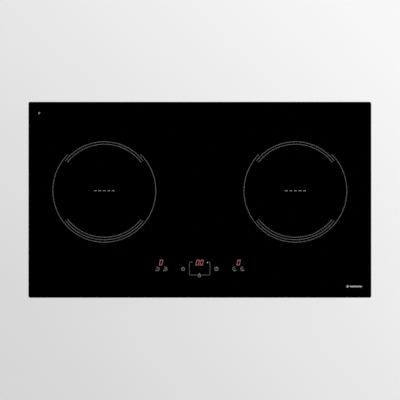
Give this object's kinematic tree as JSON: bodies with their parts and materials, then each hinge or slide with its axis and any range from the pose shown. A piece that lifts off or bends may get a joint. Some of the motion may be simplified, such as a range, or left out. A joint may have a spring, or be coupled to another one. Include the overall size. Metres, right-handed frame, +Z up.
{
  "type": "induction cooktop",
  "caption": "Built-in glass induction cooktop with round printed cooking zones, front touch controls, sprung coils, blowers and worktop clamps under it.",
  "frame": {"origin": "middle of the panel at the level of the worktop, which is the underside of the worktop seal", "axes": "+X to the right of the person cooking, +Y to the back, +Z up; the touch controls are at the front"},
  "size_m": [0.7, 0.4, 0.06],
  "materials": {
    "black_glass": "polished black glass ceramic, opaque from above",
    "enamel_print": "thin grey enamel fired into the glass",
    "lit_red": "lit red display segments seen through the glass",
    "seal_foam": "closed-cell black foam strip",
    "silicone": "black silicone adhesive",
    "zinc_sheet": "zinc-coated sheet steel with a faint spangle",
    "zinc_screw": "bright zinc-plated",
    "label": "blank silver label",
    "mica": "pale flecked mica board",
    "litz": "enamelled copper litz wire",
    "dark_moulding": "glass-filled black plastic",
    "ferrite": "dense dark ferrite",
    "mill_aluminium": "mill-finish aluminium",
    "spring_steel": "bright spring wire",
    "sensor_ceramic": "white sensor cap",
    "lead_sleeve": "woven glass sleeve",
    "circuit_board": "green solder mask",
    "device_black": "moulded black packages",
    "capacitor_case": "ochre box cases",
    "fan_moulding": "black blower moulding",
    "impeller_plastic": "dark grey impeller",
    "motor_steel": "laminated steel and copper",
    "nylon": "natural nylon",
    "terminal_plastic": "pale grey terminal moulding",
    "key_spring": "plated contact spring",
    "display_case": "dark display housings"
  },
  "bodies": {
    "case": {"glass_panel": "black_glass", "left_zone_print": "enamel_print", "right_zone_print": "enamel_print", "control_print": "enamel_print", "lit_digits": "lit_red", "worktop_seal": "seal_foam", "glass_adhesive": "silicone", "glass_frame": "zinc_sheet", "lower_case": "zinc_sheet", "screws": "zinc_screw", "rating_plate": "label", "left_coil_support": "mill_aluminium", "right_coil_support": "mill_aluminium", "left_heat_sink": "mill_aluminium", "right_heat_sink": "mill_aluminium", "left_coil_springs": "spring_steel", "right_coil_springs": "spring_steel", "left_coil_leads": "lead_sleeve", "right_coil_leads": "lead_sleeve", "left_power_board": "circuit_board", "right_power_board": "circuit_board", "touch_board": "circuit_board", "left_power_transistors": "device_black", "right_power_transistors": "device_black", "left_power_capacitors": "capacitor_case", "right_power_capacitors": "capacitor_case", "left_fan_housing": "fan_moulding", "right_fan_housing": "fan_moulding", "left_fan_cover": "fan_moulding", "right_fan_cover": "fan_moulding", "left_fan_motor": "motor_steel", "right_fan_motor": "motor_steel", "mains_choke": "litz", "board_standoffs": "nylon", "terminal_block": "terminal_plastic", "cable_gland": "dark_moulding", "gland_nut": "dark_moulding", "touch_holder": "dark_moulding", "touch_springs": "key_spring", "displays": "display_case"},
    "left_coil": {"left_coil_carrier": "dark_moulding", "left_coil_winding": "litz", "left_mica_sheet": "mica", "left_ferrite_bars": "ferrite", "left_coil_shield": "mill_aluminium", "left_sensor_spring": "spring_steel"},
    "left_sensor": {"left_temperature_sensor": "sensor_ceramic"},
    "left_fan": {"left_fan_impeller": "impeller_plastic"},
    "right_coil": {"right_coil_carrier": "dark_moulding", "right_coil_winding": "litz", "right_mica_sheet": "mica", "right_ferrite_bars": "ferrite", "right_coil_shield": "mill_aluminium", "right_sensor_spring": "spring_steel"},
    "right_sensor": {"right_temperature_sensor": "sensor_ceramic"},
    "right_fan": {"right_fan_impeller": "impeller_plastic"},
    "clamp_front_left_bracket": {"clamp_front_left": "zinc_sheet"},
    "clamp_front_right_bracket": {"clamp_front_right": "zinc_sheet"},
    "clamp_rear_left_bracket": {"clamp_rear_left": "zinc_sheet"},
    "clamp_rear_right_bracket": {"clamp_rear_right": "zinc_sheet"}
  },
  "joints": [
    {"name": "left_fan_spin", "type": "hinge", "parent": "case", "child": "left_fan", "pos_m": [-0.253, -0.112, -0.04], "axis": [0, 0, 1], "continuous": true},
    {"name": "left_coil_press", "type": "slide", "parent": "case", "child": "left_coil", "axis": [0, 0, 1], "range_m": [-0.003, 0], "stiffness_N_per_m": 3000, "springref_m": 0.006, "deforming": ["left_coil_springs", "left_coil_leads"]},
    {"name": "left_sensor_press", "type": "slide", "parent": "left_coil", "child": "left_sensor", "axis": [0, 0, 1], "range_m": [-0.0025, 0], "stiffness_N_per_m": 200, "springref_m": 0.003, "deforming": ["left_sensor_spring"]},
    {"name": "right_fan_spin", "type": "hinge", "parent": "case", "child": "right_fan", "pos_m": [0.253, -0.112, -0.04], "axis": [0, 0, 1], "continuous": true},
    {"name": "right_coil_press", "type": "slide", "parent": "case", "child": "right_coil", "axis": [0, 0, 1], "range_m": [-0.003, 0], "stiffness_N_per_m": 3000, "springref_m": 0.006, "deforming": ["right_coil_springs", "right_coil_leads"]},
    {"name": "right_sensor_press", "type": "slide", "parent": "right_coil", "child": "right_sensor", "axis": [0, 0, 1], "range_m": [-0.0025, 0], "stiffness_N_per_m": 200, "springref_m": 0.003, "deforming": ["right_sensor_spring"]},
    {"name": "clamp_front_left_slide", "type": "slide", "parent": "case", "child": "clamp_front_left_bracket", "axis": [0, 0, 1], "range_m": [-0.007, 0.007]},
    {"name": "clamp_front_right_slide", "type": "slide", "parent": "case", "child": "clamp_front_right_bracket", "axis": [0, 0, 1], "range_m": [-0.007, 0.007]},
    {"name": "clamp_rear_left_slide", "type": "slide", "parent": "case", "child": "clamp_rear_left_bracket", "axis": [0, 0, 1], "range_m": [-0.007, 0.007]},
    {"name": "clamp_rear_right_slide", "type": "slide", "parent": "case", "child": "clamp_rear_right_bracket", "axis": [0, 0, 1], "range_m": [-0.007, 0.007]}
  ]
}
